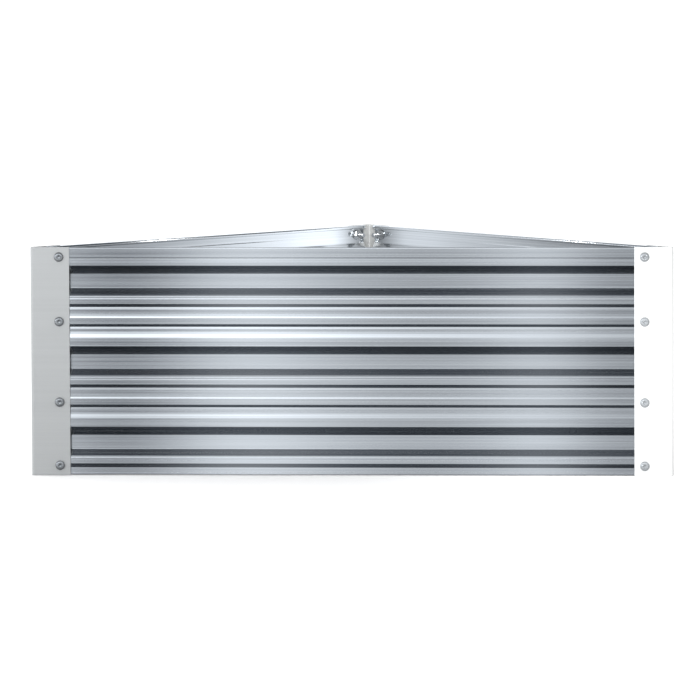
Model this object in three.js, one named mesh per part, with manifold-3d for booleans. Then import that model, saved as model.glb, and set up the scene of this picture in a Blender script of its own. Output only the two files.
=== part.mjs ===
// A three-sided, open-topped growing frame: two equal ribbed walls that meet at a right angle and a longer
// ribbed wall across the front. Folded angle brackets wrap the three corners from outside, and rows of
// dome-head bolts with flange nuts clamp each wall's ends to them. It has no floor: it stands on soil.
// Millimetres, +Z up. The long front wall faces -Y and the back corner points to +Y. The origin is on the
// ground, under the middle of the bounding box.
import * as THREE from "three";
import { mergeVertices } from "three/addons/utils/BufferGeometryUtils.js";
import Module from "manifold-3d";

const wasm = await Module();
wasm.setup();

// Overall size, measured over the outside faces of the brackets, to the corners before they are rounded.
const SIDE = 600; // each of the two equal walls
const BACK_ANGLE = THREE.MathUtils.degToRad(90);
const HEIGHT = 300;

// Clearances between pieces.
const CONTACT_GAP = 0.3; // between faces that bear on each other
const HOLE_CLEARANCE = 0.3; // round a bolt, on the radius
const THREAD_CLEARANCE = 0.2; // between a bolt and its nut, on the radius
const GROUND_CLEARANCE = 0.6; // a wall's lower edge above the ground, and its upper edge below the bracket's
const WALL_END_CLEARANCE = 2.9; // from a wall's end to where its grooves would meet the next wall's
const TIP_CLEARANCE = 3; // from a bolt's tip to where it would meet the bolts in the corner's other flange

// Wall sheet. Depths are inwards from the outer face, heights are measured down the face.
const SHEET = 0.8;
const TIGHT_RADIUS = 0.8; // bends, at the middle of the sheet
const BEND_RADIUS = 1.4;
const EASY_RADIUS = 8;
const ROLL_RADIUS = 2; // of the rolled edges, at the middle of the sheet
const RIM_LEAN = 0.4; // the upper and lower edges lean in and out by this
const RIM_HEIGHT = 1.1;
const TOP_BAND = 24; // flat band above the first groove
const BOTTOM_BAND = 22.3;
const BEAD_DROP = 13.2; // a fine bead in the top band, below the wall's upper edge
const BEAD_HEIGHT = 1.1;
const BEAD_EASE = 7; // height that the bead takes with the gentle rise below it
const BEAD_DEPTH = 0.3;
const BOTTOM_LAND = 7.6; // flat part of the bottom band, above the step down to its recessed foot
const BOTTOM_STEP = 5;
const BOTTOM_DEPTH = 1.5;
const GROOVES = 3;
const GROOVE_DEPTH = 8;
const GROOVE_MOUTH = 40.7;
const GROOVE_FLOOR = 18.8;
const LIP_DEPTH = 1.5; // the lower slope of a groove eases towards its lower edge
const LIP_HEIGHT = 2.4;
const EDGE_DEPTH = 0.2; // a fine line along each edge of a groove
const EDGE_LAND = 2.2;
const EDGE_STEP = 1.2;
const UPPER_RIB = 1.7; // depths of the two ribs that stiffen each ridge between grooves
const LOWER_RIB = 2.8;

// How a ridge's height is shared from the top down, with the depth and bend that each share ends at.
const RIDGE_SHARES = [
  { share: 9.3, depth: 0, bend: BEND_RADIUS }, // upper land
  { share: 4.2, depth: UPPER_RIB, bend: BEND_RADIUS },
  { share: 3.4, depth: 0.7 * UPPER_RIB, bend: EASY_RADIUS },
  { share: 5, depth: 0.68 * UPPER_RIB, bend: EASY_RADIUS }, // floor of the upper rib
  { share: 4, depth: 0.4 * UPPER_RIB, bend: EASY_RADIUS },
  { share: 1.9, depth: 0.12 * UPPER_RIB, bend: BEND_RADIUS },
  { share: 7.9, depth: 0, bend: TIGHT_RADIUS }, // middle land
  { share: 3.4, depth: LOWER_RIB, bend: TIGHT_RADIUS },
  { share: 3.2, depth: 0.81 * LOWER_RIB, bend: EASY_RADIUS },
  { share: 3, depth: 0.8 * LOWER_RIB, bend: EASY_RADIUS }, // floor of the lower rib
  { share: 3.2, depth: 0.62 * LOWER_RIB, bend: EASY_RADIUS },
  { share: 5, depth: 0.23 * LOWER_RIB, bend: TIGHT_RADIUS },
  { share: 1, depth: 0.22 * LOWER_RIB, bend: TIGHT_RADIUS },
  { share: 3.8, depth: EDGE_DEPTH, bend: EASY_RADIUS },
  { share: 4.8, depth: EDGE_DEPTH, bend: TIGHT_RADIUS }, // lower land
  { share: 1.5, depth: 0, bend: BEND_RADIUS },
];

// Corner brackets.
const BRACKET_SHEET = 1.5;
const CORNER_RADIUS = 3; // outside of the fold
const HOLE_INSET = 12.5; // bolt holes from a wall's end
const FLANGE_MARGIN = 13.5; // bolt holes from the bracket's edge

// Fasteners.
const BOLT_RADIUS = 3;
const BOLT_LENGTHS = [12, 16, 18, 20]; // stocked lengths; each corner takes the longest that fits
const HEAD_RADIUS = 6.3;
const HEAD_HEIGHT = 3.4;
const HEAD_RIM = 0.8; // straight side of the head below its dome
const SOCKET_ACROSS_FLATS = 4;
const SOCKET_DEPTH = 2.1;
const NUT_ACROSS_FLATS = 10;
const NUT_HEIGHT = 6;
const NUT_FLANGE_RADIUS = 6.7;
const NUT_FLANGE_THICKNESS = 1.3;
const ROW_CLEARANCE = 1; // between a nut's flange and the rolled edge beside it

const ROUND_SEGMENTS = 16;
const DOME_SEGMENTS = 3;
const BEND_SEGMENTS = 4; // of the walls' bends, for each quarter turn
const FOLD_SEGMENTS = 6;

// Sizes that follow from the ones above.
const FRONT_ANGLE = (Math.PI - BACK_ANGLE) / 2;
const FRONT = 2 * SIDE * Math.sin(BACK_ANGLE / 2);
const DEPTH = SIDE * Math.cos(BACK_ANGLE / 2);
const WALL_FACE = BRACKET_SHEET + CONTACT_GAP; // a wall's outer face, inwards from the bracket's
const WALL_TOP = HEIGHT - GROUND_CLEARANCE;
const WALL_BOTTOM = GROUND_CLEARANCE;
const WALL_CREST = WALL_FACE + GROOVE_DEPTH + SHEET; // the furthest inwards that a wall reaches
const ROLL_HEIGHT = 2 * ROLL_RADIUS + SHEET;
const BANDS_APART = WALL_TOP - WALL_BOTTOM - TOP_BAND - BOTTOM_BAND;
const RIDGE = (BANDS_APART - GROOVES * GROOVE_MOUTH) / (GROOVES - 1);
const PITCH = GROOVE_MOUTH + RIDGE;

const sheetMetal = new THREE.MeshStandardMaterial({ color: 0x9aa4ad, roughness: 0.28, metalness: 1 });
const bracketMetal = new THREE.MeshStandardMaterial({ color: 0xc6c7c6, roughness: 0.45, metalness: 0.7 });
const fastenerMetal = new THREE.MeshStandardMaterial({ color: 0xb4b7ba, roughness: 0.3, metalness: 1 });

// A geometry as a manifold-3d solid, and back.
function solidOf(geometry) {
  const bare = geometry.clone().deleteAttribute("normal").deleteAttribute("uv");
  const merged = mergeVertices(bare, 1e-4);
  const vertProperties = merged.attributes.position.array;
  const triVerts = new Uint32Array(merged.index.array);
  return new wasm.Manifold(new wasm.Mesh({ numProp: 3, vertProperties, triVerts }));
}

function geometryOf(solid) {
  const mesh = solid.getMesh();
  const geometry = new THREE.BufferGeometry();
  geometry.setAttribute("position", new THREE.BufferAttribute(mesh.vertProperties, 3));
  geometry.setIndex(new THREE.BufferAttribute(mesh.triVerts, 1));
  geometry.computeVertexNormals();
  return geometry;
}

// The outline of a folded sheet of constant thickness. Each point of its middle line is [x, y, bend radius].
function foldedOutline(middle, thickness, segments) {
  const points = middle.map(([x, y]) => new THREE.Vector2(x, y));
  const sides = [[], []];
  const pushBoth = (point, across) => {
    sides[0].push(point.clone().addScaledVector(across, thickness / 2));
    sides[1].push(point.clone().addScaledVector(across, -thickness / 2));
  };
  const leftOf = (direction) => new THREE.Vector2(-direction.y, direction.x);
  points.forEach((point, i) => {
    const before = i > 0 ? point.clone().sub(points[i - 1]).normalize() : null;
    const after = i < points.length - 1 ? points[i + 1].clone().sub(point).normalize() : null;
    if (!before || !after) {
      pushBoth(point, leftOf(before ?? after));
      return;
    }
    const radius = middle[i][2];
    const turn = Math.atan2(before.cross(after), before.dot(after));
    const toTangent = radius * Math.tan(Math.abs(turn) / 2);
    const start = point.clone().addScaledVector(before, -toTangent);
    const centre = start.clone().addScaledVector(leftOf(before), radius * Math.sign(turn));
    const steps = Math.max(1, Math.round(segments(turn)));
    for (let step = 0; step <= steps; step++) {
      const angle = (turn * step) / steps;
      const across = leftOf(before).rotateAround(new THREE.Vector2(), angle);
      pushBoth(centre.clone().addScaledVector(across, -radius * Math.sign(turn)), across);
    }
  });
  return new THREE.Shape([...sides[0], ...sides[1].reverse()]);
}

// Corners of a ridge below its top edge, as [drop, depth, bend]. Its lower edge is the next groove's.
function ridgeCorners() {
  const shares = RIDGE_SHARES.reduce((sum, { share }) => sum + share, 0);
  let drop = 0;
  return RIDGE_SHARES.slice(0, -1).map(({ share, depth, bend }) => {
    drop += (RIDGE * share) / shares;
    return [drop, depth, bend];
  });
}

// The middle line of a wall's sheet, from its rolled upper edge to its rolled lower edge.
function wallMiddleLine() {
  const line = [];
  const add = (depth, height, radius = BEND_RADIUS) => line.push([depth + SHEET / 2, height, radius]);
  const rollWidth = 2 * ROLL_RADIUS;
  const rollTop = WALL_TOP - SHEET / 2;
  add(ROLL_RADIUS, rollTop - rollWidth);
  add(rollWidth, rollTop - rollWidth, ROLL_RADIUS);
  add(rollWidth, rollTop, ROLL_RADIUS);
  add(RIM_LEAN, rollTop, TIGHT_RADIUS / 2);
  add(0, rollTop - RIM_HEIGHT, TIGHT_RADIUS);

  const beadTop = WALL_TOP - BEAD_DROP;
  add(0, beadTop, TIGHT_RADIUS);
  add(BEAD_DEPTH, beadTop - BEAD_HEIGHT, TIGHT_RADIUS);
  add(0, beadTop - BEAD_EASE, TIGHT_RADIUS);

  const slope = (GROOVE_MOUTH - GROOVE_FLOOR) / 2;
  for (let groove = 0; groove < GROOVES; groove++) {
    const mouthTop = WALL_TOP - TOP_BAND - groove * PITCH;
    const mouthBottom = mouthTop - GROOVE_MOUTH;
    add(0, mouthTop);
    add(GROOVE_DEPTH, mouthTop - slope, TIGHT_RADIUS);
    add(GROOVE_DEPTH, mouthTop - slope - GROOVE_FLOOR);
    add(LIP_DEPTH, mouthBottom + LIP_HEIGHT, EASY_RADIUS);
    add(EDGE_DEPTH, mouthBottom);
    add(EDGE_DEPTH, mouthBottom - EDGE_LAND, TIGHT_RADIUS);
    add(0, mouthBottom - EDGE_LAND - EDGE_STEP, TIGHT_RADIUS);
    if (groove < GROOVES - 1) {
      ridgeCorners().forEach(([drop, depth, bend]) => add(depth, mouthBottom - drop, bend));
    }
  }

  const rollBottom = WALL_BOTTOM + SHEET / 2;
  const bottomLand = WALL_BOTTOM + BOTTOM_BAND - BOTTOM_LAND;
  add(0, bottomLand);
  add(BOTTOM_DEPTH, bottomLand - BOTTOM_STEP);
  add(BOTTOM_DEPTH, rollBottom + 2 * RIM_HEIGHT);
  add(BOTTOM_DEPTH - RIM_LEAN, rollBottom, TIGHT_RADIUS / 2);
  add(BOTTOM_DEPTH + rollWidth, rollBottom, ROLL_RADIUS);
  add(BOTTOM_DEPTH + rollWidth, rollBottom + rollWidth, ROLL_RADIUS);
  add(BOTTOM_DEPTH + ROLL_RADIUS, rollBottom + rollWidth);
  return line;
}

// The cross-section of a wall's sheet, as depth and height.
function wallOutline() {
  const bendSteps = (turn) => (BEND_SEGMENTS * Math.abs(turn)) / (Math.PI / 2);
  return foldedOutline(wallMiddleLine(), SHEET, bendSteps);
}

// The furthest inwards that the sheet reaches between two heights.
function sheetReach(low, high) {
  const outline = wallOutline().getPoints();
  const depths = outline.flatMap((point, i) => {
    const next = outline[(i + 1) % outline.length];
    const [bottom, top] = [Math.min(point.y, next.y), Math.max(point.y, next.y)];
    const heights = [low, high, bottom, top].filter((y) => y >= Math.max(low, bottom));
    const inside = heights.filter((y) => y <= Math.min(high, top) && top > bottom);
    return inside.map((y) => THREE.MathUtils.mapLinear(y, point.y, next.y, point.x, next.x));
  });
  return Math.max(...depths);
}

// Where a wall's sheet ends and where its bolts stand, measured along the wall from a corner of that angle.
const wallEnd = (angle) => WALL_CREST / Math.tan(angle / 2) + WALL_END_CLEARANCE;
const boltInset = (angle) => wallEnd(angle) + HOLE_INSET;

// The longest stocked bolt whose tip stays clear of the bolts in the other flange of the corner.
function boltLength(angle) {
  const room = (boltInset(angle) - BOLT_RADIUS) * Math.tan(angle / 2) - TIP_CLEARANCE;
  return Math.max(BOLT_LENGTHS[0], ...BOLT_LENGTHS.filter((length) => length <= room));
}

// Heights of the bolt rows from the top: one in each band and one across the middle of each ridge.
function boltRows() {
  const edgeRow = ROLL_HEIGHT + ROW_CLEARANCE + NUT_FLANGE_RADIUS;
  const rows = [WALL_TOP - edgeRow];
  for (let groove = 1; groove < GROOVES; groove++) {
    rows.push(WALL_TOP - TOP_BAND - groove * PITCH + RIDGE / 2);
  }
  rows.push(WALL_BOTTOM + edgeRow);
  return rows;
}

// Cylinders that punch a column of bolt holes through y = 0, at a distance along x.
function holePunches(inset, reach) {
  return boltRows().map((height) => {
    const radius = BOLT_RADIUS + HOLE_CLEARANCE;
    const punch = new THREE.CylinderGeometry(radius, radius, 2 * reach, ROUND_SEGMENTS);
    return solidOf(punch.translate(inset, 0, height));
  });
}

function punched(geometry, punches) {
  return geometryOf(punches.reduce((solid, punch) => solid.subtract(punch), solidOf(geometry)));
}

// A wall, in a frame with x along it from one outer corner to the next, y inwards and z up.
function wallSheet(length, startAngle, endAngle) {
  const start = wallEnd(startAngle);
  const depth = length - start - wallEnd(endAngle);
  const sheet = new THREE.ExtrudeGeometry(wallOutline(), { depth, bevelEnabled: false });
  const alongWall = new THREE.Matrix4().makeBasis(
    new THREE.Vector3(0, 1, 0),
    new THREE.Vector3(0, 0, 1),
    new THREE.Vector3(1, 0, 0),
  );
  sheet.applyMatrix4(alongWall).translate(start, WALL_FACE, 0);
  const punches = [
    ...holePunches(boltInset(startAngle), WALL_CREST),
    ...holePunches(length - boltInset(endAngle), WALL_CREST),
  ];
  return punched(sheet, punches);
}

// A bracket, in a frame with its corner at the origin, one flange along x and its inside to the left of it.
function cornerBracket(angle) {
  const flange = boltInset(angle) + FLANGE_MARGIN;
  const middle = BRACKET_SHEET / 2;
  const apex = middle / Math.tan(angle / 2);
  const outer = new THREE.Vector2(flange, middle);
  const other = new THREE.Vector2(flange, -middle).rotateAround(new THREE.Vector2(), angle);
  const line = [
    [outer.x, outer.y, 0],
    [apex, middle, CORNER_RADIUS - middle],
    [other.x, other.y, 0],
  ];
  const outline = foldedOutline(line, BRACKET_SHEET, () => FOLD_SEGMENTS);
  const plate = new THREE.ExtrudeGeometry(outline, { depth: HEIGHT, bevelEnabled: false });
  const punches = holePunches(boltInset(angle), 2 * BRACKET_SHEET);
  const turned = punches.map((punch) => punch.rotate([0, 0, THREE.MathUtils.radToDeg(angle)]));
  return punched(plate, [...punches, ...turned]);
}

// A dome-head bolt with a hexagon socket, along y: the head's underside is at 0 and its shank runs to -y.
function bolt(length) {
  const profile = [new THREE.Vector2(0, -length), new THREE.Vector2(BOLT_RADIUS, -length)];
  profile.push(new THREE.Vector2(BOLT_RADIUS, 0), new THREE.Vector2(HEAD_RADIUS, 0));
  const flatTop = SOCKET_ACROSS_FLATS / 2 / Math.cos(Math.PI / 6) + 0.4;
  for (let step = 0; step <= DOME_SEGMENTS; step++) {
    const angle = (Math.PI / 2) * (step / DOME_SEGMENTS);
    const x = flatTop + (HEAD_RADIUS - flatTop) * Math.cos(angle);
    const y = HEAD_RIM + (HEAD_HEIGHT - HEAD_RIM) * Math.sin(angle);
    profile.push(new THREE.Vector2(x, y));
  }
  profile.push(new THREE.Vector2(0, HEAD_HEIGHT));
  const body = new THREE.LatheGeometry(profile, ROUND_SEGMENTS);
  const socketRadius = SOCKET_ACROSS_FLATS / 2 / Math.cos(Math.PI / 6);
  const socket = new THREE.CylinderGeometry(socketRadius, socketRadius, 2 * SOCKET_DEPTH, 6);
  return geometryOf(solidOf(body).subtract(solidOf(socket.translate(0, HEAD_HEIGHT, 0))));
}

// A hexagon nut with a round flange, along y: its bearing face is at 0 and it rises to +y.
function flangeNut() {
  const corner = NUT_ACROSS_FLATS / 2 / Math.cos(Math.PI / 6);
  const hexagon = new THREE.CylinderGeometry(corner, corner, NUT_HEIGHT, 6).translate(0, NUT_HEIGHT / 2, 0);
  const rim = NUT_FLANGE_THICKNESS;
  const shoulder = NUT_ACROSS_FLATS / 2;
  const flange = new THREE.LatheGeometry(
    [
      new THREE.Vector2(0, 0),
      new THREE.Vector2(NUT_FLANGE_RADIUS, 0),
      new THREE.Vector2(NUT_FLANGE_RADIUS, rim / 2),
      new THREE.Vector2(shoulder, 2 * rim),
      new THREE.Vector2(0, 2 * rim),
    ],
    ROUND_SEGMENTS,
  );
  const boreRadius = BOLT_RADIUS + THREAD_CLEARANCE;
  const bore = new THREE.CylinderGeometry(boreRadius, boreRadius, 4 * NUT_HEIGHT, ROUND_SEGMENTS);
  return geometryOf(solidOf(hexagon).add(solidOf(flange)).subtract(solidOf(bore)));
}

function named(name, geometry, material) {
  const mesh = new THREE.Mesh(geometry, material);
  mesh.name = name;
  return mesh;
}

// One column of bolts and nuts, in a wall's frame, at a distance along the wall.
function fastenerColumn(name, along, angle) {
  const column = new THREE.Group();
  const boltShape = bolt(boltLength(angle));
  const nutShape = flangeNut();
  boltRows().forEach((height, row) => {
    const screw = named(`${name}_bolt_${row + 1}`, boltShape, fastenerMetal);
    screw.position.set(along, -CONTACT_GAP, height);
    screw.rotation.x = Math.PI;
    const nut = named(`${name}_nut_${row + 1}`, nutShape, fastenerMetal);
    const seat = sheetReach(height - NUT_FLANGE_RADIUS, height + NUT_FLANGE_RADIUS);
    nut.position.set(along, WALL_FACE + seat + CONTACT_GAP, height);
    column.add(screw, nut);
  });
  return column;
}

// Outer corners in plan, in order round the frame with the inside to the left, and the walls between them.
const corners = [
  { name: "left_corner_bracket", x: -FRONT / 2, y: 0, angle: FRONT_ANGLE },
  { name: "right_corner_bracket", x: FRONT / 2, y: 0, angle: FRONT_ANGLE },
  { name: "back_corner_bracket", x: 0, y: DEPTH, angle: BACK_ANGLE },
];
const walls = [
  { name: "front", length: FRONT, ends: ["left", "right"] },
  { name: "right", length: SIDE, ends: ["front", "back"] },
  { name: "left", length: SIDE, ends: ["back", "front"] },
];

const frame = new THREE.Group();
walls.forEach(({ name, length, ends }, i) => {
  const start = corners[i];
  const end = corners[(i + 1) % corners.length];
  const wall = new THREE.Group();
  wall.position.set(start.x, start.y, 0);
  wall.rotation.z = Math.atan2(end.y - start.y, end.x - start.x);
  wall.add(named(`${name}_panel`, wallSheet(length, start.angle, end.angle), sheetMetal));
  wall.add(named(start.name, cornerBracket(start.angle), bracketMetal));
  wall.add(fastenerColumn(`${name}_${ends[0]}`, boltInset(start.angle), start.angle));
  wall.add(fastenerColumn(`${name}_${ends[1]}`, length - boltInset(end.angle), end.angle));
  frame.add(wall);
});

// The front reaches -y by the bolt heads, and the back corner's fold rounds off its point.
const frontReach = -CONTACT_GAP - HEAD_HEIGHT;
const backReach = DEPTH - CORNER_RADIUS / Math.sin(BACK_ANGLE / 2) + CORNER_RADIUS;
frame.position.y = -(frontReach + backReach) / 2;

export default frame;
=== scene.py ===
# A three-sided growing frame of ribbed, rolled and galvanised steel walls, bolted inside folded corner
# brackets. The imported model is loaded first, and each piece made here stands for one of its nodes.
import math

import bmesh
import bpy
from mathutils import Matrix, Vector


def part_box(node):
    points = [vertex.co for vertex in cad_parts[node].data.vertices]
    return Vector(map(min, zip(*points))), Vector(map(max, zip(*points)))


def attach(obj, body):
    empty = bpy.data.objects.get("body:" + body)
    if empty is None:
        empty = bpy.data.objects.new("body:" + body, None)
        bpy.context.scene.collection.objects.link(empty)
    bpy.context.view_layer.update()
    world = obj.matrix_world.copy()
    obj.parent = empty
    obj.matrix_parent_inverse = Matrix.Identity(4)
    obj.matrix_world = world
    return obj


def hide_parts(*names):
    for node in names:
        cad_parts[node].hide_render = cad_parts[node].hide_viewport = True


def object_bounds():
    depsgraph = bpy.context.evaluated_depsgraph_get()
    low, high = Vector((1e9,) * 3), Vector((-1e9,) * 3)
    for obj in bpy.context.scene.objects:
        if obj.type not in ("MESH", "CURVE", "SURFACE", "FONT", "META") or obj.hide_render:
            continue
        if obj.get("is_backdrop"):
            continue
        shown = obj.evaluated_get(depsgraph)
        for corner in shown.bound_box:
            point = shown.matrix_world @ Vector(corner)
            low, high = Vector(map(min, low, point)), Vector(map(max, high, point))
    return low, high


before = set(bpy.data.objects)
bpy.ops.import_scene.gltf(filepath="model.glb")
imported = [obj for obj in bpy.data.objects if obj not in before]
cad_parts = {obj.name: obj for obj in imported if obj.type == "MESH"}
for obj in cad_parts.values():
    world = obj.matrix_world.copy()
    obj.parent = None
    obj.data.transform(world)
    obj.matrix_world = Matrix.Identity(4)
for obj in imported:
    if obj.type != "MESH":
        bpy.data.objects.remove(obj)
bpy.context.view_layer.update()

# Sizes in millimetres, as the CAD gives them. Depths are inwards from a wall's outer face.
SIDE = 600
FRONT = SIDE * math.sqrt(2)
DEPTH = SIDE / math.sqrt(2)
HEIGHT = 300
FRONT_ANGLE, BACK_ANGLE = math.radians(45), math.radians(90)
BRACKET_SHEET = 1.5
CONTACT_GAP = 0.3
GROUND_CLEARANCE = 0.6
SHEET = 0.8
# Bends of a wall's sheet, measured at its middle.
TIGHT_RADIUS, BEND_RADIUS, EASY_RADIUS, WIDE_RADIUS = 0.8, 1.4, 8, 20
ROLL_RADIUS = 2
RIM_LEAN, RIM_HEIGHT = 0.4, 1.1
TOP_BAND = 24
BOTTOM_BAND = 22.3
BEAD_DROP, BEAD_HEIGHT, BEAD_EASE, BEAD_DEPTH = 13.2, 1.1, 7, 0.3
BOTTOM_LAND, BOTTOM_STEP, BOTTOM_DEPTH = 7.6, 5, 1.5
GROOVES = 3
GROOVE_DEPTH = 8
GROOVE_MOUTH = 40.7
GROOVE_FLOOR = 18.8
LIP_DEPTH, LIP_HEIGHT = 1.5, 2.4
EDGE_DEPTH, EDGE_LAND, EDGE_STEP = 0.2, 2.2, 1.2
UPPER_RIB, LOWER_RIB = 1.7, 2.8
CORNER_RADIUS = 3
HOLE_INSET = 12.5
FLANGE_MARGIN = 13.5
WALL_END_CLEARANCE = 2.9
BOLT_RADIUS = 3
SHORT_BOLT, LONG_BOLT = 12, 18
THREAD_PITCH, THREAD_DEPTH = 1, 0.45
HEAD_RADIUS, HEAD_HEIGHT, HEAD_RIM, HEAD_FLAT_RADIUS = 6.3, 3.4, 0.8, 3
DOME_STEPS = 8
SOCKET_ACROSS_FLATS, SOCKET_DEPTH = 4, 2.1
NUT_ACROSS_FLATS, NUT_HEIGHT = 10, 6
NUT_FLANGE_RADIUS, NUT_FLANGE_THICKNESS = 6.7, 1.3
ROW_CLEARANCE = 1

# A ridge from the top down: each share of its height, with the depth and bend radius it ends at. The two
# wide bends near its foot let the light fade gently there.
RIDGE_SHARES = [
    (9.3, 0, BEND_RADIUS),
    (4.2, UPPER_RIB, BEND_RADIUS),
    (3.4, 0.7 * UPPER_RIB, EASY_RADIUS),
    (5, 0.68 * UPPER_RIB, EASY_RADIUS),
    (4, 0.4 * UPPER_RIB, EASY_RADIUS),
    (1.9, 0.12 * UPPER_RIB, BEND_RADIUS),
    (7.9, 0, TIGHT_RADIUS),
    (3.4, LOWER_RIB, TIGHT_RADIUS),
    (3.2, 0.81 * LOWER_RIB, EASY_RADIUS),
    (3, 0.8 * LOWER_RIB, EASY_RADIUS),
    (3.2, 0.62 * LOWER_RIB, EASY_RADIUS),
    (5, 0.24 * LOWER_RIB, WIDE_RADIUS),
    (4.8, EDGE_DEPTH, WIDE_RADIUS),
    (4.8, EDGE_DEPTH, TIGHT_RADIUS),
    (1.5, 0, BEND_RADIUS),
]

WALL_FACE = BRACKET_SHEET + CONTACT_GAP
WALL_TOP = HEIGHT - GROUND_CLEARANCE
WALL_BOTTOM = GROUND_CLEARANCE
WALL_CREST = WALL_FACE + GROOVE_DEPTH + SHEET
RIDGE = (WALL_TOP - WALL_BOTTOM - TOP_BAND - BOTTOM_BAND - GROOVES * GROOVE_MOUTH) / (GROOVES - 1)
PITCH = GROOVE_MOUTH + RIDGE
MM = 0.001


# ---- camera -------------------------------------------------------------------------------------

SENSOR = 36


def look(target, azimuth, elevation, distance, lens, aim=(0, 0), roll=0):
    """A camera on a sphere round target; aim turns it off target by that many sensor widths."""
    data = bpy.data.cameras.new("camera")
    data.lens = lens
    data.sensor_width = SENSOR
    data.clip_end = 100
    camera = bpy.data.objects.new("camera", data)
    bpy.context.scene.collection.objects.link(camera)
    turn, rise = math.radians(azimuth), math.radians(elevation)
    away = Vector((math.sin(turn) * math.cos(rise), -math.cos(turn) * math.cos(rise), math.sin(rise)))
    rotation = (-away).to_track_quat("-Z", "Y").to_matrix()
    pan = Matrix.Rotation(math.atan2(aim[0] * SENSOR, lens), 3, "Y")
    tilt = Matrix.Rotation(math.atan2(aim[1] * SENSOR, lens), 3, "X")
    rotation = rotation @ Matrix.Rotation(math.radians(roll), 3, "Z") @ pan @ tilt
    camera.matrix_world = Matrix.Translation(target + away * distance) @ rotation.to_4x4()
    bpy.context.scene.camera = camera


front_face = Vector((0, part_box("left_corner_bracket")[0].y, HEIGHT / 2 * MM))
look(front_face, 3.43, 5.1, 9.8, 385.5, aim=(0.00207, 0.01643), roll=-0.25)


# ---- materials ----------------------------------------------------------------------------------

def colour(code):
    """An sRGB hex colour as linear red, green, blue and alpha."""
    parts = [int(code[i:i + 2], 16) / 255 for i in (1, 3, 5)]
    return [c / 12.92 if c <= 0.04045 else ((c + 0.055) / 1.055) ** 2.4 for c in parts] + [1]


def add(tree, kind, links=None, **settings):
    """Adds a node; links maps its inputs to sockets or values, and settings are its own properties."""
    made = tree.nodes.new(kind)
    for key, value in settings.items():
        setattr(made, key, value)
    for key, value in (links or {}).items():
        if isinstance(value, bpy.types.NodeSocket):
            tree.links.new(value, made.inputs[key])
        else:
            made.inputs[key].default_value = value
    return made


def calculate(tree, operation, first, second):
    """The sum, product and so on of two sockets or values."""
    return add(tree, "ShaderNodeMath", {0: first, 1: second}, operation=operation).outputs[0]


def streaks(tree, spacing, run):
    """Level lines about spacing mm apart and run mm long, as a noise factor."""
    place = add(tree, "ShaderNodeTexCoord").outputs["Object"]
    along, up = 1 / (run * MM), 1 / (spacing * MM)
    drawn = add(tree, "ShaderNodeMapping", {"Vector": place, "Scale": (along, along, up)})
    links = {"Vector": drawn.outputs[0], "Scale": 1.0, "Detail": 2.0, "Roughness": 0.6}
    return add(tree, "ShaderNodeTexNoise", links).outputs["Fac"]


def spread(tree, factor, low, high, start=0.3, end=0.7):
    """The factor from start to end, spread over low to high."""
    links = {"Value": factor, "From Min": start, "From Max": end, "To Min": low, "To Max": high}
    return add(tree, "ShaderNodeMapRange", links).outputs["Result"]


def metal(name, dark, light, rough, fine, broad, wave, metallic=1.0):
    """A drawn metal: lines fine mm apart and bands broad mm apart vary its colour, gloss and level."""
    material = bpy.data.materials.new(name)
    material.use_nodes = True
    tree = material.node_tree
    shader = tree.nodes["Principled BSDF"]
    shader.inputs["Metallic"].default_value = metallic
    thin = streaks(tree, fine, fine * 400)
    wide = streaks(tree, broad, broad * 200)
    tone = calculate(tree, "MULTIPLY", calculate(tree, "ADD", thin, wide), 0.5)
    ramp = add(tree, "ShaderNodeValToRGB", {"Fac": tone})
    ramp.color_ramp.elements[0].position = 0.38
    ramp.color_ramp.elements[0].color = colour(dark)
    ramp.color_ramp.elements[1].position = 0.62
    ramp.color_ramp.elements[1].color = colour(light)
    tree.links.new(ramp.outputs["Color"], shader.inputs["Base Color"])
    tree.links.new(spread(tree, thin, *rough), shader.inputs["Roughness"])
    links = {"Height": tone, "Strength": 1.0, "Distance": wave * MM}
    tree.links.new(add(tree, "ShaderNodeBump", links).outputs["Normal"], shader.inputs["Normal"])
    return material


# Hot-dip galvanised steel, roll-formed: the rollers leave fine level lines and a bluish sheen.
rolled_galvanised_steel = metal(
    "rolled_galvanised_steel", "#CACDD0", "#DADDDF", (0.15, 0.21), fine=1.6, broad=5, wave=0.008)

# Galvanised and chromate-passivated steel: the same metal left milky and satin by the passivation bath.
passivated_galvanised_steel = metal(
    "passivated_galvanised_steel", "#C6C7C6", "#CACBCA", (0.44, 0.5), fine=1.6, broad=9, wave=0.001,
    metallic=0.6)

# Bright zinc plate on cold-headed steel: smooth and cool, with a little haze.
zinc_plated_steel = metal(
    "zinc_plated_steel", "#909396", "#A6A9AB", (0.12, 0.2), fine=0.6, broad=3, wave=0.002,
    metallic=0.7)


# ---- pieces -------------------------------------------------------------------------------------

def piece(name, bm, material, slot, place, *nodes):
    """Makes a mesh object that stands for CAD nodes; place puts it in the row frame, in metres."""
    bm.transform(place)
    mesh = bpy.data.meshes.new(name)
    bm.to_mesh(mesh)
    bm.free()
    mesh.shade_smooth()
    mesh.materials.append(material)
    made = bpy.data.objects.new(name, mesh)
    bpy.context.scene.collection.objects.link(made)
    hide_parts(*nodes)
    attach(made, "root")
    return made


def modify(made, kind, **settings):
    """Adds a modifier to a piece."""
    modifier = made.modifiers.new(kind.lower(), kind)
    for key, value in settings.items():
        setattr(modifier, key, value)


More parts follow.
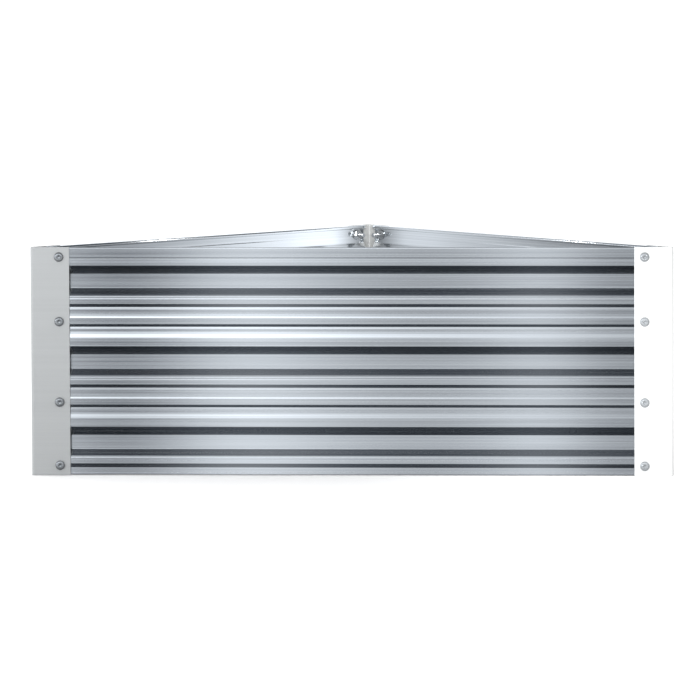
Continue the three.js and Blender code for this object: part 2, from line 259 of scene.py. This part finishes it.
def fold(line, length, bend_segments=4):
    """A sheet folded along a line of (x, y, bend radius) and drawn out along z, with no thickness yet."""
    bm = bmesh.new()
    points = [Vector(point[:2]) for point in line]
    corners = [bm.verts.new((*point, 0)) for point in points]
    for start, end in zip(corners, corners[1:]):
        bm.edges.new((start, end))
    for i in range(1, len(line) - 1):
        turn = (points[i] - points[i - 1]).angle(points[i + 1] - points[i])
        offset = line[i][2] * math.tan(turn / 2)
        segments = bend_segments if turn < math.radians(69) else 2 * bend_segments
        bmesh.ops.bevel(bm, geom=[corners[i]], offset=offset, segments=segments, profile=0.5,
                        affect="VERTICES", material=-1)
    bmesh.ops.remove_doubles(bm, verts=bm.verts[:], dist=0.02)  # where two bends meet
    drawn = bmesh.ops.extrude_edge_only(bm, edges=bm.edges[:])
    ends = [part for part in drawn["geom"] if isinstance(part, bmesh.types.BMVert)]
    bmesh.ops.translate(bm, vec=(0, 0, length), verts=ends)
    for edge in bm.edges:
        edge.smooth = not edge.is_boundary
    bmesh.ops.recalc_face_normals(bm, faces=bm.faces[:])
    return bm


def turned(rings, segments=36):
    """A closed solid round z from rings of (height, radius, sides); sides is 0 for a round ring."""
    def shape(verts, height, radius, sides):
        for vert in verts:
            angle = math.atan2(vert.co.y, vert.co.x)
            reach = radius
            if sides:
                step = 2 * math.pi / sides
                reach = radius / math.cos((angle + step / 2) % step - step / 2)
            vert.co = (reach * math.cos(angle), reach * math.sin(angle), height)

    bm = bmesh.new()
    made = bmesh.ops.create_circle(bm, cap_ends=True, segments=segments, radius=1)
    shape(made["verts"], *rings[0])
    loop = bm.edges[:]
    for ring in rings[1:]:
        drawn = bmesh.ops.extrude_edge_only(bm, edges=loop)["geom"]
        loop = [part for part in drawn if isinstance(part, bmesh.types.BMEdge)]
        shape([part for part in drawn if isinstance(part, bmesh.types.BMVert)], *ring)
    bmesh.ops.edgeloop_fill(bm, edges=loop)
    bmesh.ops.recalc_face_normals(bm, faces=bm.faces[:])
    for edge in bm.edges:
        edge.smooth = edge.calc_face_angle(0) < math.radians(32)
    return bm


def wall_line():
    """The middle of a wall's sheet from its rolled upper edge to its rolled lower edge."""
    line = []

    def to(depth, height, radius=BEND_RADIUS):
        line.append((depth + SHEET / 2, height, radius))

    roll = 2 * ROLL_RADIUS
    rim = WALL_TOP - SHEET / 2
    to(ROLL_RADIUS, rim - roll)
    to(roll, rim - roll, ROLL_RADIUS)
    to(roll, rim, ROLL_RADIUS)
    to(RIM_LEAN, rim, TIGHT_RADIUS / 2)
    to(0, rim - RIM_HEIGHT, TIGHT_RADIUS)
    bead = WALL_TOP - BEAD_DROP
    to(0, bead, TIGHT_RADIUS)
    to(BEAD_DEPTH, bead - BEAD_HEIGHT, TIGHT_RADIUS)
    to(0, bead - BEAD_EASE, TIGHT_RADIUS)
    slope = (GROOVE_MOUTH - GROOVE_FLOOR) / 2
    total = sum(share for share, _, _ in RIDGE_SHARES)
    for groove in range(GROOVES):
        mouth = WALL_TOP - TOP_BAND - groove * PITCH
        height = mouth - GROOVE_MOUTH
        to(0, mouth)
        to(GROOVE_DEPTH, mouth - slope, TIGHT_RADIUS)
        to(GROOVE_DEPTH, mouth - slope - GROOVE_FLOOR)
        to(LIP_DEPTH, height + LIP_HEIGHT, EASY_RADIUS)
        to(EDGE_DEPTH, height)
        to(EDGE_DEPTH, height - EDGE_LAND, TIGHT_RADIUS)
        to(0, height - EDGE_LAND - EDGE_STEP, TIGHT_RADIUS)
        if groove < GROOVES - 1:
            for share, depth, radius in RIDGE_SHARES[:-1]:
                height -= RIDGE * share / total
                to(depth, height, radius)
    foot = WALL_BOTTOM + SHEET / 2
    land = WALL_BOTTOM + BOTTOM_BAND - BOTTOM_LAND
    to(0, land)
    to(BOTTOM_DEPTH, land - BOTTOM_STEP)
    to(BOTTOM_DEPTH, foot + 2 * RIM_HEIGHT)
    to(BOTTOM_DEPTH - RIM_LEAN, foot, TIGHT_RADIUS / 2)
    to(BOTTOM_DEPTH + roll, foot, ROLL_RADIUS)
    to(BOTTOM_DEPTH + roll, foot + roll, ROLL_RADIUS)
    to(BOTTOM_DEPTH + ROLL_RADIUS, foot + roll)
    return line


def sheet_reach(low, high):
    """The furthest inwards that a wall's sheet reaches between two heights."""
    line = [(depth + SHEET / 2, height) for depth, height, _ in wall_line()]
    reach = 0
    for (a, top), (b, bottom) in zip(line, line[1:]):
        for height in (low, high, top, bottom):
            if min(top, bottom) <= height <= max(top, bottom) and low <= height <= high and top != bottom:
                reach = max(reach, a + (b - a) * (height - top) / (bottom - top))
    return reach


def bolt_rows():
    """Heights of the bolts, from the top."""
    edge = 2 * ROLL_RADIUS + SHEET + ROW_CLEARANCE + NUT_FLANGE_RADIUS
    middle = [WALL_TOP - TOP_BAND - i * PITCH + RIDGE / 2 for i in range(1, GROOVES)]
    return [WALL_TOP - edge, *middle, WALL_BOTTOM + edge]


def wall_end(angle):
    """Where a wall's sheet ends, along the wall from a corner of that angle."""
    return WALL_CREST / math.tan(angle / 2) + WALL_END_CLEARANCE


def bolt_inset(angle):
    """Where a wall's bolts stand, along the wall from a corner of that angle."""
    return wall_end(angle) + HOLE_INSET


def bolt(length):
    """A dome-head bolt, its head up: the head's underside is at 0."""
    root = BOLT_RADIUS - THREAD_DEPTH - 0.05
    rings = [(-length, BOLT_RADIUS - 0.7, 0), (-length + 0.6, BOLT_RADIUS - 0.1, 0)]
    for thread in range(int(length / THREAD_PITCH) - 1):
        height = -length + 1.1 + thread * THREAD_PITCH
        rings += [(height, root, 0), (height + THREAD_PITCH / 2, BOLT_RADIUS - 0.05, 0)]
    rings += [(-0.2, BOLT_RADIUS - 0.3, 0), (0, BOLT_RADIUS + 0.1, 0)]
    rings += [(0, HEAD_RADIUS - 0.25, 0), (0.2, HEAD_RADIUS, 0), (HEAD_RIM, HEAD_RADIUS, 0)]
    for step in range(1, DOME_STEPS + 1):
        angle = math.pi / 2 * step / DOME_STEPS
        rings.append((HEAD_RIM + (HEAD_HEIGHT - HEAD_RIM) * math.sin(angle),
                      HEAD_FLAT_RADIUS + (HEAD_RADIUS - HEAD_FLAT_RADIUS) * math.cos(angle), 0))
    half = SOCKET_ACROSS_FLATS / 2
    rings += [(HEAD_HEIGHT, half + 0.25, 6), (HEAD_HEIGHT - 0.25, half, 6)]
    rings += [(HEAD_HEIGHT - SOCKET_DEPTH, half, 6), (HEAD_HEIGHT - SOCKET_DEPTH - 0.6, 0.4, 6)]
    return turned(rings)


def nut():
    """A flange nut, its bearing face down at 0. Its bore is shut at the bolt's thread."""
    half = NUT_ACROSS_FLATS / 2
    rim = NUT_FLANGE_THICKNESS
    bore = BOLT_RADIUS + 0.05
    rings = [
        (0.4, bore, 0), (0, bore + 0.4, 0), (0, NUT_FLANGE_RADIUS - 0.2, 0),
        (0.2, NUT_FLANGE_RADIUS, 0), (rim / 2, NUT_FLANGE_RADIUS, 0), (rim, NUT_FLANGE_RADIUS - 0.5, 0),
        (2 * rim, half + 0.35, 6), (2 * rim + 0.3, half, 6), (NUT_HEIGHT - 0.75, half, 6),
        (NUT_HEIGHT - 0.1, half - 0.15, 0), (NUT_HEIGHT, half - 0.4, 0),
        (NUT_HEIGHT, bore + 0.5, 0), (NUT_HEIGHT - 0.5, bore, 0),
    ]
    return turned(rings)


# A wall's section, drawn as depth, height and length, stood up along the wall.
UPRIGHT = Matrix(((0, 0, 1, 0), (1, 0, 0, 0), (0, 1, 0, 0), (0, 0, 0, 1)))
OUTWARDS = Matrix.Rotation(math.radians(90), 4, "X")

# Corners in plan, in order round the frame, and the walls between them with the names of their ends.
corners = [
    ("left_corner_bracket", -FRONT / 2, 0, FRONT_ANGLE),
    ("right_corner_bracket", FRONT / 2, 0, FRONT_ANGLE),
    ("back_corner_bracket", 0, DEPTH, BACK_ANGLE),
]
walls = [
    ("front", FRONT, "left", "right"),
    ("right", SIDE, "front", "back"),
    ("left", SIDE, "back", "front"),
]

# The row frame's origin is under the middle of the bounding box, so the front brackets give the shift.
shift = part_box("left_corner_bracket")[0].y
metres = Matrix.Translation((0, shift, 0)) @ Matrix.Scale(MM, 4)

for i, (name, length, first, last) in enumerate(walls):
    bracket, x, y, start_angle = corners[i]
    _, end_x, end_y, end_angle = corners[(i + 1) % 3]
    turn = math.atan2(end_y - y, end_x - x)
    wall = metres @ Matrix.Translation((x, y, 0)) @ Matrix.Rotation(turn, 4, "Z")

    start, end = wall_end(start_angle), length - wall_end(end_angle)
    sheet = fold(wall_line(), end - start)
    place = wall @ Matrix.Translation((start, WALL_FACE, 0)) @ UPRIGHT
    made = piece(f"{name}_wall", sheet, rolled_galvanised_steel, "wall_sheet", place, f"{name}_panel")
    modify(made, "SOLIDIFY", thickness=SHEET * MM, offset=0, use_even_offset=True)
    modify(made, "WEIGHTED_NORMAL", keep_sharp=True)

    flange = bolt_inset(start_angle) + FLANGE_MARGIN
    middle = BRACKET_SHEET / 2
    other = Matrix.Rotation(start_angle, 2) @ Vector((flange, -middle))
    apex = middle / math.tan(start_angle / 2)
    line = [(flange, middle, 0), (apex, middle, CORNER_RADIUS - middle), (other.x, other.y, 0)]
    made = piece(f"{bracket}_plate", fold(line, HEIGHT, 8), passivated_galvanised_steel,
                 "corner_bracket", wall, bracket)
    modify(made, "SOLIDIFY", thickness=BRACKET_SHEET * MM, offset=0, use_even_offset=True)
    modify(made, "BEVEL", width=0.25 * MM, segments=2, limit_method="ANGLE", angle_limit=math.radians(60))
    modify(made, "WEIGHTED_NORMAL", keep_sharp=True)

    for side, along, angle in ((first, bolt_inset(start_angle), start_angle),
                               (last, length - bolt_inset(end_angle), end_angle)):
        shank = SHORT_BOLT if angle < BACK_ANGLE else LONG_BOLT
        for row, height in enumerate(bolt_rows(), 1):
            seat = sheet_reach(height - NUT_FLANGE_RADIUS, height + NUT_FLANGE_RADIUS)
            node = f"{name}_{side}_bolt_{row}"
            turned_by = Matrix.Rotation(math.radians(37 * row + 61 * i), 4, "Z")
            place = wall @ Matrix.Translation((along, -CONTACT_GAP, height)) @ OUTWARDS @ turned_by
            made = piece(f"{node}_zinc", bolt(shank), zinc_plated_steel, "fasteners", place, node)
            modify(made, "WEIGHTED_NORMAL", keep_sharp=True)
            node = f"{name}_{side}_nut_{row}"
            place = wall @ Matrix.Translation((along, WALL_FACE + seat + CONTACT_GAP, height))
            place = place @ OUTWARDS.inverted() @ turned_by
            made = piece(f"{node}_zinc", nut(), zinc_plated_steel, "fasteners", place, node)
            modify(made, "WEIGHTED_NORMAL", keep_sharp=True)


# ---- floor, sky and lights ----------------------------------------------------------------------

def prop(name, bm, material):
    """Makes one of the studio's own objects, which isn't a piece of the frame."""
    mesh = bpy.data.meshes.new(name)
    bm.to_mesh(mesh)
    bm.free()
    mesh.materials.append(material)
    made = bpy.data.objects.new(name, mesh)
    bpy.context.scene.collection.objects.link(made)
    made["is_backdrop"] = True
    return made


def floor():
    """A plain pale floor. Glossy rays pass it, so down-facing metal stays dark."""
    bm = bmesh.new()
    bmesh.ops.create_circle(bm, cap_ends=True, segments=96, radius=14)
    bmesh.ops.translate(bm, vec=(0, 0, -0.5 * MM), verts=bm.verts[:])
    material = bpy.data.materials.new("matt_white_floor")
    material.use_nodes = True
    shader = material.node_tree.nodes["Principled BSDF"]
    shader.inputs["Base Color"].default_value = colour("#FFFFFF")
    shader.inputs["Roughness"].default_value = 0.9
    shader.inputs["Specular IOR Level"].default_value = 0
    shader.inputs["Emission Color"].default_value = colour("#FFFFFF")
    shader.inputs["Emission Strength"].default_value = 0.13
    made = prop("floor", bm, material)
    made.visible_glossy = False
    made.visible_shadow = False


# The studio's cloth by the height of a direction in degrees: its brightness, how strongly its patches
# show, and how much it fades to the right.
CLOTH = [
    (-90, 0.15, 0.8, 0),
    (-81, 0.12, 1.0, 0),
    (-74, 0.05, 2.6, 0),
    (-60, 0.08, 2.6, 0),
    (-48, 0.17, 2.6, 0),
    (-29, 0.175, 2.6, 0),
    (-22, 0.42, 1.6, 0),
    (-14, 0.92, 1.0, 0),
    (-4, 0.75, 1.0, 0),
    (6, 0.82, 1.0, 0),
    (13, 1.05, 0.8, 0.5),
    (20, 1.45, 0.4, 1.1),
    (27, 1.65, 0.4, 1.1),
    (36, 1.35, 0.4, 0.1),
    (46, 0.90, 0.6, 0),
    (54, 0.50, 1.0, 0),
    (62, 0.25, 1.5, 0),
    (70, 0.17, 1.7, 0),
    (90, 0.10, 1.7, 0),
]

# Light and dark patches along the cloth: (metres to the right of the middle, brightness).
PATCHES = [
    (-2, 1.4), (-1.0, 1.4), (-0.75, 1.15), (-0.58, 1.15), (-0.5, 0.85), (-0.45, 0.5), (-0.4, 0.34),
    (-0.35, 0.55), (-0.27, 1.26), (-0.21, 1.42), (-0.14, 1.15), (-0.04, 0.8), (0.08, 0.72), (0.15, 1.0),
    (0.21, 1.42), (0.26, 1.0), (0.31, 0.45), (0.38, 0.6), (0.55, 0.9), (0.75, 1.0), (1.0, 0.5),
    (1.3, 0.12), (2, 0.1),
]

# The inner cards from the front to the back: (metres from the middle, brightness).
CARD = [(-0.2, 0.4), (-0.1, 0.5), (0, 0.8), (0.1, 1.15), (0.15, 1.3), (0.17, 1.1), (0.2, 0.35)]


def curve(tree, value, points):
    """A smooth line through (value, level) points, read at the value."""
    low, high = points[0][0], points[-1][0]
    top = max(level for _, level in points)
    ramp = add(tree, "ShaderNodeValToRGB", {"Fac": spread(tree, value, 0, 1, low, high)})
    steps = ramp.color_ramp
    steps.interpolation = "CARDINAL"
    while len(steps.elements) < len(points):
        steps.elements.new(1)
    for element, (place, level) in zip(steps.elements, points):
        element.position = (place - low) / (high - low)
        element.color = (level / top, level / top, level / top, 1)
    return calculate(tree, "MULTIPLY", ramp.outputs["Color"], top)


def glowing(name):
    """An empty material for something that only glows; gives also the x, y and z of its points."""
    material = bpy.data.materials.new(name)
    material.use_nodes = True
    material.cycles.emission_sampling = "NONE"
    tree = material.node_tree
    tree.nodes.clear()
    place = add(tree, "ShaderNodeTexCoord").outputs["Object"]
    return material, add(tree, "ShaderNodeSeparateXYZ", {0: place}).outputs


def hang(name, bm, material, tint, strength):
    """Hangs up a glowing shape that is seen only in gloss."""
    tree = material.node_tree
    glow = add(tree, "ShaderNodeEmission", {"Color": tint, "Strength": strength})
    add(tree, "ShaderNodeOutputMaterial", {"Surface": glow.outputs[0]})
    made = prop(name, bm, material)
    made.visible_camera = False
    made.visible_diffuse = False
    made.visible_shadow = False


def tent(centre, radius, half_length):
    """A lying drum of lit cloth round the object."""
    bm = bmesh.new()
    bmesh.ops.create_cone(bm, cap_ends=True, segments=96, radius1=radius, radius2=radius,
                          depth=2 * half_length)
    bm.transform(Matrix.Translation(centre) @ Matrix.Rotation(math.radians(90), 4, "Y"))
    material, place = glowing("lit_diffusing_cloth")
    tree = material.node_tree
    rise = spread(tree, place["Z"], -1, 1, centre.z - radius, centre.z + radius)
    angles, *columns = zip(*CLOTH)
    sines = [math.sin(math.radians(angle)) for angle in angles]
    level, contrast, lean = (curve(tree, rise, list(zip(sines, column))) for column in columns)
    patches = calculate(tree, "POWER", curve(tree, place["X"], PATCHES), contrast)
    across = spread(tree, place["X"], -0.5, 0.5, -0.5, 0.5)
    fade = calculate(tree, "SUBTRACT", 1, calculate(tree, "MULTIPLY", lean, across))
    strength = calculate(tree, "MULTIPLY", calculate(tree, "MULTIPLY", level, patches), fade)
    shade = spread(tree, strength, 0, 1, 0, 0.4)
    links = {"Factor": shade, 6: colour("#C6D7EF"), 7: colour("#F4F9FF")}
    tint = add(tree, "ShaderNodeMix", links, data_type="RGBA").outputs["Result"]
    hang("tent", bm, material, tint, strength)


def inner_card(name, offset, brightness):
    """A lit card across the open middle, softer towards the floor, for the inner wall that it faces."""
    low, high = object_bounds()
    bm = bmesh.new()
    bmesh.ops.create_grid(bm, x_segments=1, y_segments=1, size=0.5)
    size = Matrix.Diagonal(((high.z - low.z) * 1.2, (high.y - low.y) * 0.93, 1, 1))
    middle = (low + high) / 2 + Vector((offset, 0, 0))
    bm.transform(Matrix.Translation(middle) @ Matrix.Rotation(math.radians(90), 4, "Y") @ size)
    material, place = glowing(f"{name}_glow")
    tree = material.node_tree
    rise = spread(tree, place["Z"], 0.25, 1, 0.02, 0.24)
    level = calculate(tree, "MULTIPLY", curve(tree, place["Y"], CARD), rise)
    strength = calculate(tree, "MULTIPLY", level, brightness)
    hang(name, bm, material, colour("#F4F9FF"), strength)


def sky(strength):
    """An even white room, which lights only what is matt."""
    world = bpy.data.worlds.new("studio")
    bpy.context.scene.world = world
    world.use_nodes = True
    shader = world.node_tree.nodes["Background"]
    shader.inputs["Color"].default_value = colour("#FFFFFF")
    shader.inputs["Strength"].default_value = strength
    world.cycles_visibility.glossy = False


def panel_light(name, at, towards, size, power, spread_angle=180):
    """A soft rectangular light."""
    data = bpy.data.lights.new(name, "AREA")
    data.shape = "RECTANGLE"
    data.size, data.size_y = size
    data.energy = power
    data.spread = math.radians(spread_angle)
    made = bpy.data.objects.new(name, data)
    bpy.context.scene.collection.objects.link(made)
    aim = Vector(towards) - Vector(at)
    made.matrix_world = Matrix.Translation(at) @ aim.to_track_quat("-Z", "Y").to_matrix().to_4x4()
    made.visible_camera = False
    return made


floor()
tent(front_face, radius=1.1, half_length=2)
inner_card("left_card", -0.002, 1.28)
inner_card("right_card", 0.002, 0.82)
sky(1.12)
side_light = panel_light("side_light", (0.34, -0.75, 0.2), (0.36, -0.2, 0.15), (0.2, 0.4), 2.2, 70)
side_light.visible_glossy = False
panel_light("corner_light", (0, -0.06, 0.42), (0, 0.2, 0.27), (0.1, 0.1), 0.8)

bpy.context.scene.view_settings.view_transform = "Standard"
